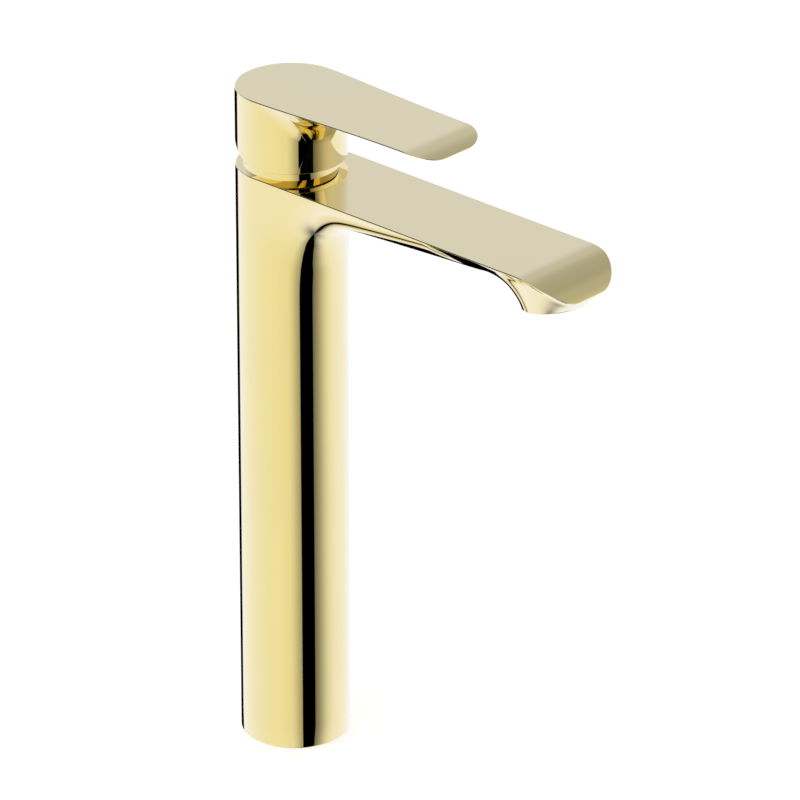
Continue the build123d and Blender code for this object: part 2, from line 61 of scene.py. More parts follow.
CASTING_LOW, CASTING_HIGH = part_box("body_casting")
HANDLE_LOW, HANDLE_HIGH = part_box("handle")
NECK_LOW, NECK_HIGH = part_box("cover_ring")
MILLIMETRES = 1000   # in a metre


def length(name, description, millimetres):
    """A length property, given in millimetres."""
    return FloatProperty(name=name, description=description, default=millimetres / MILLIMETRES, unit="LENGTH")


def metres(name, description, value):
    """A length property whose default is read from the CAD model, in metres."""
    return FloatProperty(name=name, description=description, default=value, unit="LENGTH")


def angle(name, description, degrees):
    """An angle property, given in degrees."""
    return FloatProperty(name=name, description=description, default=math.radians(degrees), subtype="ANGLE")


def colour(name, description, *tint):
    """A colour property in linear values."""
    return FloatVectorProperty(name=name, description=description, default=tint, subtype="COLOR",
                               min=0.0, max=1.0)


def amount(name, description, value):
    """A plain factor between 0 and 1."""
    return FloatProperty(name=name, description=description, default=value, subtype="FACTOR",
                         min=0.0, max=1.0)


class CastingSizes(bpy.types.PropertyGroup):
    """Lengths of the column, spout and outlet nose."""
    column_radius: metres("Column radius", "Outer radius of the column", CASTING_HIGH[0])
    body_height: metres("Body height", "Deck to the spout's flat top", CASTING_HIGH[2])
    spout_reach: metres("Spout reach", "Column axis to the lip", -CASTING_LOW[1])
    foot_round: length("Foot round", "Rounding at the column's foot", 1.0)
    bore_radius: length("Bore radius", "Hollow inside the column", 21.0)
    bore_top: length("Bore top", "Height of the hollow's roof", 224.5)
    tip_half: length("Tip half width", "Half the spout's width at its front corners", 23.5)
    corner_length: length("Corner length", "Length of the lip's soft corner", 17.8)
    corner_width: length("Corner width", "Width of the lip's soft corner", 16.5)
    roll_radius: length("Lip roll radius", "Radius of the lip's downward roll", 26.7)
    roll_length: length("Lip roll length", "Length of the lip's downward roll", 21.3)
    edge: length("Edge height", "Upright band round the spout's top", 0.3)
    edge_bevel: length("Edge bevel", "Width of the bevel round the spout's top", 0.4)
    root_depth: length("Root thickness", "Spout thickness at the root station", 16.2)
    root_station: length("Root station", "Where the root thickness is measured", 60.0)
    end_depth: length("End thickness", "Spout thickness at the end station", 12.3)
    end_station: length("End station", "Where the end thickness is measured", 118.0)
    lip_depth: length("Lip thickness", "Spout thickness at the lip", 1.5)
    blend_radius: length("Blend radius", "Sweep from the column into the spout's underside", 17.0)
    blend_evenness: length("Blend evenness", "Length over which the sweep is evened out", 8.6)
    nose_start: length("Nose start", "Station where the underside begins to gather into the nose", 98.0)
    outlet_reach: length("Outlet reach", "Column axis to the outlet's centre", 149.5)
    outlet_drop: length("Outlet drop", "Spout's top down to the outlet's face", 19.2)
    outlet_radius: length("Outlet radius", "Outer radius of the nose at its face", 14.5)
    nose_sweep: length("Nose sweep", "Hollow radius behind the nose", 16.0)
    nose_merge: length("Nose merge", "Softness where the nose meets the underside", 3.0)
    chamber_radius: length("Chamber radius", "Cartridge chamber radius", 19.0)
    thread_radius: length("Thread radius", "Nut thread radius above the chamber", 20.0)
    thread_depth: length("Thread depth", "Depth of the nut thread", 8.5)
    chamber_depth: length("Chamber depth", "Depth of the cartridge chamber", 34.0)
    insert_radius: length("Outlet bore", "Radius of the outlet ring's bore", 12.05)


class CastingAngles(bpy.types.PropertyGroup):
    """Angles of the spout and the outlet nose."""
    root_angle: angle("Root edge angle", "Half angle of the underside's arc at the root", 69.0)
    end_angle: angle("End edge angle", "Half angle of the underside's arc near the lip", 48.0)
    outlet_tilt: angle("Outlet tilt", "Forward tilt of the outlet's face", 11.0)
    nose_flare: angle("Nose flare", "Flare of the nose's rear wall", 10.0)


class LeverSizes(bpy.types.PropertyGroup):
    """Lengths of the hub and lever."""
    hub_radius: metres("Hub radius", "Outer radius of the hub", HANDLE_HIGH[0])
    hub_bottom: metres("Hub bottom", "Height of the hub's lower rim", HANDLE_LOW[2])
    top: metres("Lever top", "Height of the lever's flat top", HANDLE_HIGH[2])
    reach: metres("Lever reach", "Column axis to the lever's tip", -HANDLE_LOW[1])
    shoulder: length("Shoulder", "Station that holds the hub's width", 18.0)
    waist_half: length("Waist half width", "Half width that pulls the sides in", 20.7)
    waist_station: length("Waist station", "Where the sides are pulled in", 40.0)
    end_half: length("End half width", "Half the lever's width at its corners", 20.3)
    corner_length: length("Corner length", "Length of the tip's soft corner", 12.6)
    corner_width: length("Corner width", "Width of the tip's soft corner", 13.3)
    roll_radius: length("Tip roll radius", "Radius of the tip's downward roll", 32.5)
    roll_length: length("Tip roll length", "Length of the tip's downward roll", 14.1)
    edge: length("Edge height", "Upright band round the lever's top", 0.3)
    edge_bevel: length("Edge bevel", "Width of the bevel round the lever's top", 0.4)
    root_depth: length("Root depth", "Belly under the lever at the hub", 6.0)
    end_depth: length("End depth", "Belly under the lever before the tip", 4.4)
    tip_depth: length("Tip depth", "Belly under the lever at the tip", 0.3)
    fillet: length("Hub fillet", "Sweep from the hub into the lever's underside", 12.0)
    rim_bevel: length("Rim bevel", "Rounding of the hub's lower rim", 0.2)
    relief_start: length("Relief start", "Where the rear relief starts behind the axis", 2.9)
    inner_radius: length("Hub bore", "Inner radius of the hub", 22.0)
    lip_radius: length("Lip radius", "Inner radius of the hub's lower lip", 19.75)
    lip_height: length("Lip height", "Thickness of the hub's lower lip", 1.0)
    ceiling: length("Ceiling", "Height of the hub's inner ceiling", 301.8)
    boss_radius: length("Boss radius", "Radius of the spindle boss", 8.5)
    boss_bottom: length("Boss bottom", "Height of the boss's lower end", 281.0)
    socket_half: length("Socket half width", "Half the square spindle socket", 4.6)
    socket_top: length("Socket top", "Height of the socket's roof", 299.0)
    cap_radius: length("Cap radius", "Radius of the rear screw cap", 3.15)
    cap_height: length("Cap height", "Height of the rear screw cap's centre", 292.0)
    cap_crown: length("Cap crown", "How far the cap's middle stands proud", 0.3)


class LeverAngles(bpy.types.PropertyGroup):
    """Angles of the hub and lever."""
    edge_angle: angle("Edge angle", "Half angle of the belly's arc under the lever", 30.0)
    relief_angle: angle("Relief angle", "Rise of the hub's lower rim behind the axis", 25.9)


class FittingSizes(bpy.types.PropertyGroup):
    """Lengths of the neck ring and the outlet ring."""
    neck_radius: metres("Neck radius", "Outer radius of the neck ring", NECK_HIGH[0])
    neck_top: metres("Neck top", "Height of the neck ring's top", NECK_HIGH[2])
    neck_skirt: metres("Neck skirt", "Height of the neck ring's lower rim", NECK_LOW[2])
    neck_hole: length("Neck hole", "Hole for the cartridge", 14.6)
    neck_brow: length("Neck brow", "Outer radius at the neck ring's top", 19.6)
    neck_sink: length("Neck sink", "How far the neck ring's shoulder is let into the casting's top", 0.04)
    neck_web: length("Neck web", "Thickness of the neck ring's top", 1.5)
    neck_bore: length("Neck bore", "Inner radius of the neck ring's skirt", 16.3)
    skirt_radius: length("Skirt radius", "Outer radius of the skirt in the casting", 19.95)
    outlet_outer: length("Outlet ring radius", "Outer radius of the outlet ring", 12.0)
    outlet_inner: length("Outlet ring bore", "Inner radius of the outlet ring", 10.2)
    outlet_lip: length("Outlet lip radius", "Radius inside the outlet ring's lip", 9.2)
    outlet_lip_height: length("Outlet lip height", "Thickness of the outlet ring's lip", 1.2)
    outlet_length: length("Outlet ring length", "Length of the outlet ring", 8.0)
    soft_edge: length("Soft edge", "Rounding of turned edges", 0.35)


class Finishes(bpy.types.PropertyGroup):
    """Colours and polish of the pieces."""
    gold: colour("Gold", "Gold seen face on", 0.885, 0.735, 0.27)
    gold_rim: colour("Gold rim", "Gold seen at a glancing angle", 1.0, 1.0, 1.0)
    gold_polish: amount("Gold roughness", "Roughness of the polished gold", 0.035)
    brass: colour("Raw brass", "Turned brass inside the body", 0.72, 0.50, 0.20)
    copper: colour("Copper", "Riser tubes", 0.80, 0.40, 0.24)
    rubber: colour("Rubber", "Seals", 0.018, 0.018, 0.02)
    white_acetal: colour("White acetal", "Cartridge shell and flow straightener", 0.78, 0.77, 0.73)
    grey_acetal: colour("Grey acetal", "Moving cartridge parts", 0.30, 0.31, 0.32)
    ceramic: colour("Ceramic", "Cartridge discs", 0.86, 0.84, 0.79)
    steel: colour("Steel", "Spindle, pin, screw and screen", 0.60, 0.60, 0.60)


class Studio(bpy.types.PropertyGroup):
    """Camera and light."""
    turn: angle("Camera turn", "Camera's turn from the front, to the left", 47.48)
    rise: angle("Camera rise", "Camera's rise above level", 25.83)
    lens: FloatProperty(name="Lens", description="Focal length on a 36 mm film back", default=308.7,
                        unit="CAMERA")
    distance: length("Distance", "Camera to the point it looks at", 2958.5)
    look_height: length("Look height", "Height of the point the camera is framed on", 150.0)
    frame_right: length("Frame shift right", "Sideways offset of the frame", 45.83)
    frame_up: length("Frame shift up", "Upward offset of the frame", 7.33)
    backdrop: colour("Backdrop", "Floor and background", 1.0, 1.0, 1.0)
    room: amount("Room light", "Light level of the walls and floor", 0.97)
    ceiling: amount("Ceiling light", "Light level overhead", 0.725)


class MixerSettings(bpy.types.PropertyGroup):
    """Everything a user of the mixer would change."""
    casting: PointerProperty(type=CastingSizes)
    casting_angles: PointerProperty(type=CastingAngles)
    lever: PointerProperty(type=LeverSizes)
    lever_angles: PointerProperty(type=LeverAngles)
    fitting: PointerProperty(type=FittingSizes)
    finish: PointerProperty(type=Finishes)
    studio: PointerProperty(type=Studio)


def in_mm(group):
    """The lengths of a group in millimetres."""
    return SimpleNamespace(**{key: getattr(group, key) * MILLIMETRES for key in group.__annotations__})


def arithmetic(operation, swapped=False):
    """A method that adds a Math node for an arithmetic sign; swapped puts the other value first."""
    def method(self, other):
        return self.math(operation, *((other, self) if swapped else (self, other)))

    return method


class Wire:
    """A shader socket. Arithmetic on it adds Math nodes, and node() adds any other node."""

    __add__, __radd__ = arithmetic("ADD"), arithmetic("ADD", swapped=True)
    __sub__, __rsub__ = arithmetic("SUBTRACT"), arithmetic("SUBTRACT", swapped=True)
    __mul__, __rmul__ = arithmetic("MULTIPLY"), arithmetic("MULTIPLY", swapped=True)
    __truediv__, __pow__ = arithmetic("DIVIDE"), arithmetic("POWER")

    def __init__(self, tree, socket=None):
        self.tree = tree
        self.socket = socket

    def node(self, kind, inputs=None, output=0, **settings):
        """Adds a node with its settings and inputs, and returns one of its outputs."""
        made = self.tree.nodes.new(kind)
        for key, value in settings.items():
            if key == "stops":
                set_stops(made.color_ramp, value)
            else:
                setattr(made, key, value)
        for key, value in (inputs or {}).items():
            if isinstance(value, Wire):
                self.tree.links.new(value.socket, made.inputs[key])
            else:
                made.inputs[key].default_value = value
        return Wire(self.tree, made.outputs[output] if made.outputs else None)

    def math(self, operation, *values):
        return self.node("ShaderNodeMath", dict(enumerate(values)), operation=operation)

    def dot(self, vector):
        return self.node("ShaderNodeVectorMath", {0: self, 1: vector}, "Value", operation="DOT_PRODUCT")

    def ramp(self, low, high, start, end):
        """Eases from start to end while this value goes from low to high."""
        limits = {"From Min": low, "From Max": high, "To Min": start, "To Max": end}
        return self.node("ShaderNodeMapRange", {"Value": self, **limits}, interpolation_type="SMOOTHSTEP")

    def mix(self, first, second):
        """Mixes two colours by this value."""
        return self.node("ShaderNodeMix", {0: self, 6: first, 7: second}, output=2, data_type="RGBA")

    def bump(self, strength, depth):
        """A surface normal that follows this value; depth is in metres."""
        return self.node("ShaderNodeBump", {"Strength": strength, "Distance": depth, "Height": self})


def set_stops(ramp, stops):
    """Sets a colour ramp's grey stops, given as (place, level)."""
    while len(ramp.elements) < len(stops):
        ramp.elements.new(1.0)
    for element, (place, level) in zip(ramp.elements, stops):
        element.position = place
        element.color = (level, level, level, 1.0)


def rgba(tint, level=1.0):
    """A colour property as a socket value, at a share of its brightness."""
    return (tint[0] * level, tint[1] * level, tint[2] * level, 1.0)


class Shell:
    """Points and faces of one piece, gathered ring by ring, in millimetres: front, side, up."""

    def __init__(self):
        self.points = []
        self.faces = []

    def ring(self, points):
        start = len(self.points)
        self.points.extend(tuple(point) for point in points)
        return list(range(start, len(self.points)))

    def bridge(self, first, second, closed=True):
        count = len(first)
        for low in range(count if closed else count - 1):
            high = (low + 1) % count
            face = tuple(dict.fromkeys((first[low], first[high], second[high], second[low])))
            if len(face) > 2:
                self.faces.append(face)

    def chain(self, rings, closed=True):
        for first, second in zip(rings, rings[1:]):
            self.bridge(first, second, closed)

    def fan(self, ring, point):
        self.bridge(ring, self.ring([point]) * len(ring))

    def place(self, index):
        return np.array([self.points[item] for item in index])

    def piece(self, name, sharp=35.0):
        """Makes the object, with its faces turned outward and its creases kept."""
        mesh = bpy.data.meshes.new(name)
        front, side, up = np.array(self.points).T / MILLIMETRES
        mesh.from_pydata(np.stack([side, -front, up], axis=1).tolist(), [], self.faces)
        work = bmesh.new()
        work.from_mesh(mesh)
        bmesh.ops.recalc_face_normals(work, faces=work.faces)
        work.to_mesh(mesh)
        work.free()
        mesh.shade_smooth()
        mesh.set_sharp_from_angle(angle=math.radians(sharp))
        mesh.validate()
        made = bpy.data.objects.new(name, mesh)
        bpy.context.collection.objects.link(made)
        return made


def dress(piece, body, finish, slot, *nodes):
    """Gives a piece its slot's finish, the body it rides on and the CAD nodes it stands for."""
    piece.data.materials.append(finish_of(slot, finish))
    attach(piece, body)
    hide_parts(*nodes)


def blend(start, end, share):
    """From start to end by a share."""
    return start + (end - start) * share


def share_of(value, low, high):
    """How far a value has come from low to high, between 0 and 1."""
    return np.clip((value - low) / (high - low), 0.0, 1.0)


def ease(value, low, high):
    """Smooth step from 0 at low to 1 at high."""
    share = share_of(value, low, high)
    return share * share * (3 - 2 * share)


def smooth_lower(first, second, soft):
    """The lower of two heights, with the crease between them softened."""
    share = np.clip(0.5 + 0.5 * (second - first) / soft, 0.0, 1.0)
    return second + (first - second) * share - soft * share * (1 - share)


END_MARGIN = 3.5    # widths from a line's ends that stay as they are


def even_lines(grid, widths):
    """Evens each lengthwise line of a grid over a width of its own; widths of zero leave it alone."""
    made = grid.copy()
    for column, width in enumerate(widths):
        if width < 0.01:
            continue
        line = grid[:, column]
        step = np.linalg.norm(np.diff(line, axis=0), axis=1)
        along = np.concatenate([[0], np.cumsum(step)])
        part = np.gradient(along)
        apart = np.abs(along[:, None] - along[None, :])
        weight = np.exp(-0.5 * (apart / width) ** 2) * part
        inside = np.minimum(along, along[-1] - along) > END_MARGIN * width
        made[inside, column] = (weight @ line / weight.sum(axis=1)[:, None])[inside]
    return made


def circle(turns, radius, height):
    """Points of a level circle; a turn of zero faces the front."""
    turns = np.asarray(turns)
    return np.stack([radius * np.cos(turns), radius * np.sin(turns), np.full(len(turns), height)], axis=1)


def quarter_round(radius, steps):
    """Steps through a quarter round, as pairs that go from (0, radius) to (radius, 0)."""
    for step in range(steps + 1):
        around = math.pi / 2 * step / steps
        yield radius * (1 - math.cos(around)), radius * (1 - math.sin(around))


def arc_depth(share, angle):
    """Depth of an arc of a half angle at a share of its half width: 0 at its ends, 1 in the middle."""
    return (np.sqrt(1 - (np.sin(angle) * share) ** 2) - np.cos(angle)) / (1 - np.cos(angle))


def at_outlet(points, size, tilt):
    """Moves points from the outlet's own axes to the mixer, with the outlet's forward tilt."""
    front = size.outlet_reach + points[:, 0] * math.cos(tilt) - points[:, 2] * math.sin(tilt)
    up = size.body_height - size.outlet_drop + points[:, 0] * math.sin(tilt) + points[:, 2] * math.cos(tilt)
    return np.stack([front, points[:, 1], up], axis=1)


class Tongue(SimpleNamespace):
    """A flat tongue with soft front corners that rolls down in front. A station is a distance forward."""

    def __init__(self, size, turn, top, reach):
        super().__init__(**vars(size), turn=turn, flat_z=top, edge_z=top - size.edge,
                         straight_end=reach - size.corner_length, roll_start=reach - size.roll_length)

    def top_of(self, station):
        past = np.clip(station - self.roll_start, 0.0, self.roll_radius * 0.999)
        return self.flat_z - (self.roll_radius - np.sqrt(self.roll_radius ** 2 - past ** 2))

    def outline_half(self, station):
        """Half the width, less an elliptic corner."""
        share = share_of(station, self.straight_end, self.straight_end + self.corner_length)
        return self.side_half(station) - self.corner_width * (1 - np.sqrt(1 - share ** 2))

    def outline(self, stations, front_steps):
        """Points of the edge: the right side at the stations, the straight front and the left side back."""
        right = np.column_stack([stations, self.outline_half(stations)])
        sides = right[-1, 1] * (1 - 2 * np.linspace(0, 1, front_steps + 1)[1:-1])
        front = np.column_stack([np.full(front_steps - 1, stations[-1]), sides])
        return np.concatenate([right, front, (right * (1, -1))[::-1]])

    def lift(self, plan):
        """Plan points at the height of the upright edge's foot."""
        return np.column_stack([plan, self.top_of(plan[:, 0]) - self.edge])


def split_loop(loop, side_count, front_count):
    """A tongue's loop as its right, front, left and back points; right and left run forward."""
    fore, aft = side_count + front_count, 2 * side_count + front_count
    return loop[:side_count], loop[side_count:fore], loop[fore:aft][::-1], loop[aft:]


BEVEL_SLOPE = math.tan(math.radians(32))
BEVEL_FADE = 2.0   # mm of roll over which the bevel narrows
BEVEL_LEAST = 0.2  # share of its width that is left


def upright_edge(shell, outline, tongue):
    """Upright band above an outline and the flat bevel into the top; returns the top's boundary."""
    place = shell.place(outline)[:, :2]
    along = np.roll(place, -1, axis=0) - np.roll(place, 1, axis=0)
    inward = np.stack([-along[:, 1], along[:, 0]], axis=1)
    inward /= np.linalg.norm(inward, axis=1)[:, None]
    if np.sum(inward * (place.mean(axis=0) - place)) < 0:
        inward = -inward
    level = tongue.top_of(place[:, 0])
    width = tongue.edge_bevel * np.clip(1 - (level.max() - level) / BEVEL_FADE, BEVEL_LEAST, 1.0)
    rings = [outline]
    for share in (0.0, 0.9, 1.0, 1.1):  # close rows hold the crease
        spot = place + inward * width[:, None] * share
        height = tongue.top_of(spot[:, 0]) - width * BEVEL_SLOPE * max(1 - share, 0.0)
        rings.append(shell.ring(np.column_stack([spot, height])))
    shell.chain(rings)
    return rings[-1]


def ladder(shell, right, left, front, tongue):
    """Fills a top between its right and left edges, row by row, down to the front edge."""
    shares = np.linspace(0, 1, len(front) + 2)[1:-1, None]
    rows = []
    for start, end in zip(right[:-1], left[:-1]):
        first, last = shell.place([start, end])
        spots = blend(first, last, shares)
        spots[:, 2] = tongue.top_of(spots[:, 0])
        rows.append([start] + shell.ring(spots) + [end])
    rows.append([right[-1]] + front + [left[-1]])
    shell.chain(rows, closed=False)
    return rows[0]


# Turns of the column's front half, which the spout grows from, and of its back half.
FRONT_TURNS = np.linspace(-math.pi / 2, math.pi / 2, 65)
BACK_TURNS = np.linspace(math.pi / 2, 3 * math.pi / 2, 49)[1:-1]
BLEND_SHARE = 0.85  # of the root station, where the sweep from the column has ended
LIP_OVERRUN = 1.5   # mm past the lip where the underside would have the lip's thickness


class Spout(Tongue):
    """Widths and heights of the spout."""

    def __init__(self, size, turn):
        super().__init__(size, turn, size.body_height, size.spout_reach)
        self.blend_end = size.root_station * BLEND_SHARE
        self.thinning = (size.root_depth - size.end_depth) / (size.end_station - size.root_station)

    def side_half(self, station):
        return blend(self.column_radius, self.tip_half, share_of(station, 0.0, self.straight_end))

    def keel(self, station):
        """Height of the underside's lowest line, which follows the top where the lip rolls down."""
        def straight(at):
            return self.body_height - self.root_depth + (at - self.root_station) * self.thinning

        past = share_of(station, self.roll_start, self.spout_reach + LIP_OVERRUN)
        depth = blend(self.edge_z - straight(self.roll_start), self.lip_depth, past)
        rolled = self.top_of(station) - self.edge - depth
        return np.where(station < self.roll_start, straight(station), rolled)

    def edge_angle(self, station):
        """Half angle of the underside's arc."""
        root, end = self.turn.root_angle, self.turn.end_angle
        near = blend(math.pi / 2, root, ease(station, 0.0, self.blend_end))
        return near + (end - root) * share_of(station, self.blend_end, self.roll_start)

    def rib(self, edge, level, keel, keel_level):
        """Points of the underside's arc from side to side, between its ends and its lowest point."""
        angle = self.edge_angle(edge)
        around = FRONT_TURNS / (math.pi / 2) * angle
        depth = (np.cos(around) - np.cos(angle)) / (1 - np.cos(angle))
        side = self.side_half(edge) * np.sin(around) / np.sin(angle)
        return np.column_stack([blend(edge, keel, depth), side, blend(level, keel_level, depth)])

    def underside(self, station, side):
        share = np.clip(np.abs(side) / self.side_half(station), 0.0, 1.0)
        level = self.top_of(station) - self.edge
        return blend(level, self.keel(station), arc_depth(share, self.edge_angle(station)))


RIBS = 100          # in each stretch: up the column's front and the two halves of the sweep
SPOUT_RIBS = 140    # along the spout
RIB_STRIDE = 4      # every fourth rib is kept
RUN_UP_RIBS = 40    # on the column, only there to steady the evening
RUN_UP = 50.0       # mm of the column's front that the ribs cover
RUN_OUT = 40.0      # mm past the nose's start that the ribs go on
EDGE_SETTLING = 12  # rate at which the ribs' ends come up to the spout's edge


def spout_ribs(spout):
    """Ribs up the column's front, round the sweep and on along the spout's underside, evened out."""
    even = np.ones(len(FRONT_TURNS))
    slope = math.atan(spout.thinning)
    sweep, centre = spout.blend_radius, spout.column_radius + spout.blend_radius
    centre_z = spout.keel(centre) - sweep / math.cos(slope)
    rise = spout.edge_z - centre_z
    corner, last = math.atan2(rise, centre), math.pi / 2 - slope
    ribs = [spout.rib(0 * even, level * even, spout.column_radius, level)
            for level in np.linspace(centre_z - RUN_UP, centre_z, RIBS + 1)[:-1]]
    for around in np.concatenate([np.linspace(0, corner, RIBS + 1), np.linspace(corner, last, RIBS + 1)[1:]]):
        to_back, to_top = math.cos(around) / centre, math.sin(around) / rise
        far = even / math.hypot(to_back, to_top)
        far[[0, -1]] = 1 / max(to_back, to_top)
        edge, level = centre - far * math.cos(around), centre_z + far * math.sin(around)
        keel = centre - sweep * math.cos(around)
        ribs.append(spout.rib(edge, level, keel, centre_z + sweep * math.sin(around)))
    drop, first_edge, first_keel = spout.edge_z - level, edge[0], keel
    final = spout.nose_start + RUN_OUT
    for share in np.linspace(0, 1, SPOUT_RIBS + 1)[1:]:
        edge, keel = blend(first_edge, final, share), blend(first_keel, final, share)
        level = spout.edge_z - drop * math.exp(-EDGE_SETTLING * share)
        ribs.append(spout.rib(edge * even, level, keel, spout.keel(keel)))
    return even_lines(np.array(ribs), spout.blend_evenness * np.sqrt(np.abs(np.cos(FRONT_TURNS))))


def column_skin(shell, spout):
    """Hollow column and the underside as far as the nose; returns the underside's rows and the back."""
    radius, nose_start, corner = spout.column_radius, spout.nose_start, 2 * RIBS
    ribs = spout_ribs(spout)
    turns = np.concatenate([FRONT_TURNS, BACK_TURNS])
    bore_top = shell.ring(circle(turns, spout.bore_radius, spout.bore_top))
    shell.fan(bore_top, (0, 0, spout.bore_top))
    rings = [bore_top, shell.ring(circle(turns, spout.bore_radius, 0))]
    for up, inward in quarter_round(spout.foot_round, 6):
        rings.append(shell.ring(circle(turns, radius - inward, up)))
    for level in np.linspace(spout.foot_round, ribs[RUN_UP_RIBS, 0, 2], 20)[1:-1]:
        rings.append(shell.ring(circle(turns, radius, level)))
    for row in ribs[RUN_UP_RIBS:corner + 1:RIB_STRIDE]:
        rings.append(shell.ring(np.concatenate([row, circle(BACK_TURNS, radius, row[0, 2])])))
    shell.chain(rings)
    across = len(FRONT_TURNS)
    ahead = [row for row in ribs[corner + RIB_STRIDE::RIB_STRIDE] if row[0, 0] < nose_start - 1]
    ahead.append(spout.rib(np.full(across, nose_start), spout.edge_z, nose_start, spout.keel(nose_start)))
    rows = [rings[-1][:across]] + [shell.ring(row) for row in ahead]
    shell.chain(rows, closed=False)
    return rows, rings[-1][across:]


RIM_ROUND = 0.3       # mm, rounding of the outlet's rim
INSERT_DEPTH = 10.0   # mm that the outlet ring's bore goes up
PASSAGE_RADIUS = 9.0  # mm, the water passage above that bore
PASSAGE_DEPTH = 14.0  # mm from the outlet's face to the passage's end
SIDE_FLARE = 0.47     # mm out for each mm up on the nose's sides
SPOUT_FRONT = 24      # faces along the lip's straight front
# Turns from straight back over which the nose's hollow and its rear wall's flare fade out.
HOLLOW_FADE, FLARE_FADE = np.radians((25, 88)), np.radians((15, 90))


def nose_wall(sweep, flare, hollow, away):
    """Height of the nose's wall above its rim, by the distance out from the rim."""
    climb = np.linspace(0, 0.995 * sweep, 60)
    out = flare * climb + hollow * (sweep - np.sqrt(sweep ** 2 - climb ** 2))
    steep = (climb[-1] - climb[-2]) / (out[-1] - out[-2])
    return np.where(away > out[-1], climb[-1] + (away - out[-1]) * steep, np.interp(away, out, climb))


def nose_skin(shell, spout, root):
    """Underside from the nose's root and the lip to the outlet's bore; returns the lip's outline."""
    tilt = spout.turn.outlet_tilt
    stations = np.concatenate([
        np.linspace(spout.nose_start, spout.straight_end, 33)[1:],
        spout.straight_end + spout.corner_length * np.sin(np.linspace(0, math.pi / 2, 29)[1:]),
    ])
    lip = shell.ring(spout.lift(spout.outline(stations, SPOUT_FRONT)))
    outer = shell.place(root + lip)
    bearing = np.arctan2(outer[:, 1], (outer[:, 0] - spout.outlet_reach) / math.cos(tilt))

    def outlet_ring(out, lift):
        return at_outlet(circle(bearing, out, lift), spout, tilt)

    inner = outlet_ring(spout.outlet_radius, RIM_ROUND)
    span = np.linalg.norm(outer[:, :2] - inner[:, :2], axis=1)
    rearward = math.pi - np.abs(bearing)
    hollow = 1 - ease(rearward, *HOLLOW_FADE)
    flare = np.where(rearward > math.pi / 2, span / (outer[:, 2] - inner[:, 2]), SIDE_FLARE)
    flare = blend(flare, math.tan(spout.turn.nose_flare), 1 - ease(rearward, *FLARE_FADE))
    steps = np.linspace(0, 1, 61) ** 1.4  # rows crowd towards the rim
    columns = []
    for index, (start, end) in enumerate(zip(inner, outer)):
        spots = blend(start, end, steps[:, None])
        wall = start[2] + nose_wall(spout.nose_sweep, flare[index], hollow[index], span[index] * steps)
        level = smooth_lower(wall, spout.underside(spots[:, 0], spots[:, 1]), spout.nose_merge)
        level += (start[2] - level[0]) * (1 - steps) ** 6
        spots[:, 2] = level + (end[2] - level[-1]) * steps ** 3
        columns.append(spots)
    nose = [shell.ring(row) for row in np.array(columns).swapaxes(0, 1)[:-1]] + [root + lip]
    rounding = [shell.ring(outlet_ring(spout.outlet_radius - inward, lift))
                for inward, lift in list(quarter_round(RIM_ROUND, 4))[1:]]
    bore = [shell.ring(outlet_ring(out, lift)) for out, lift in (
        (spout.insert_radius, 0.0), (spout.insert_radius, INSERT_DEPTH),
        (PASSAGE_RADIUS, INSERT_DEPTH), (PASSAGE_RADIUS, PASSAGE_DEPTH))]
    shell.chain(bore[::-1] + rounding[::-1] + nose)
    shell.fan(bore[-1], np.mean(outlet_ring(1.0, PASSAGE_DEPTH), axis=0))
    return split_loop(lip, len(stations), SPOUT_FRONT - 1)[:3]


DECK_END = 30.0       # mm from the axis, where the top round the neck becomes the spout's top


def spout_top(shell, spout, right, front, left, back):
    """Edge and flat top inside the outline, with the cartridge chamber let into it."""
    loop = upright_edge(shell, right + front + left[::-1] + back[::-1], spout)
    right, front, left, back = split_loop(loop, len(right), len(front))
    split = next(index for index, spot in enumerate(shell.place(right)) if spot[0] > DECK_END)
    first_row = ladder(shell, right[split:], left[split:], front, spout)
    deck = right[:split] + first_row + left[:split][::-1] + back
    spots = shell.place(deck)
    turns = np.arctan2(spots[:, 1], spots[:, 0])
    thread_z, chamber_z = spout.flat_z - spout.thread_depth, spout.flat_z - spout.chamber_depth
    rings = [deck] + [shell.ring(circle(turns, out, level)) for out, level in (
        (spout.thread_radius, spout.flat_z), (spout.thread_radius, thread_z),
        (spout.chamber_radius, thread_z), (spout.chamber_radius, chamber_z))]
    shell.chain(rings)
    shell.fan(rings[-1], (0, 0, chamber_z))


def casting_shell(size, turn):
    """Column, spout and outlet nose as one watertight skin."""
    shell, spout = Shell(), Spout(size, turn)
    rows, back = column_skin(shell, spout)
    right, front, left = nose_skin(shell, spout, rows[-1])
    spout_top(shell, spout, [row[-1] for row in rows] + right, front, [row[0] for row in rows] + left, back)
    return shell


LEVER_FRONT = 20    # faces along the tip's straight front
HUB_BACK_TURNS = np.linspace(-math.pi / 2, -3 * math.pi / 2, 57)[1:-1]


class Lever(Tongue):
    """Widths and heights of the lever."""

    def __init__(self, size, turn):
        super().__init__(size, turn, size.top, size.reach)
        share = np.linspace(0, 1, 400)[:, None]
        root, shoulder, waist, end = np.array([
            (size.hub_radius, 0), (size.hub_radius, size.shoulder),
            (size.waist_half, size.waist_station), (size.end_half, self.straight_end)])
        self.side_line = (root * (1 - share) ** 3 + 3 * shoulder * share * (1 - share) ** 2
                          + 3 * waist * share ** 2 * (1 - share) + end * share ** 3)

    def side_half(self, station):
        return np.interp(station, self.side_line[:, 1], self.side_line[:, 0])

    def underside(self, station, share):
        """Height of the underside at a station and a share of the half width."""
        depth = blend(self.root_depth, self.end_depth, share_of(station, self.hub_radius, self.roll_start))
        depth += (self.tip_depth - self.end_depth) * share_of(station, self.roll_start, self.reach) ** 2
        return self.top_of(station) - self.edge - depth * arc_depth(share, self.turn.edge_angle)


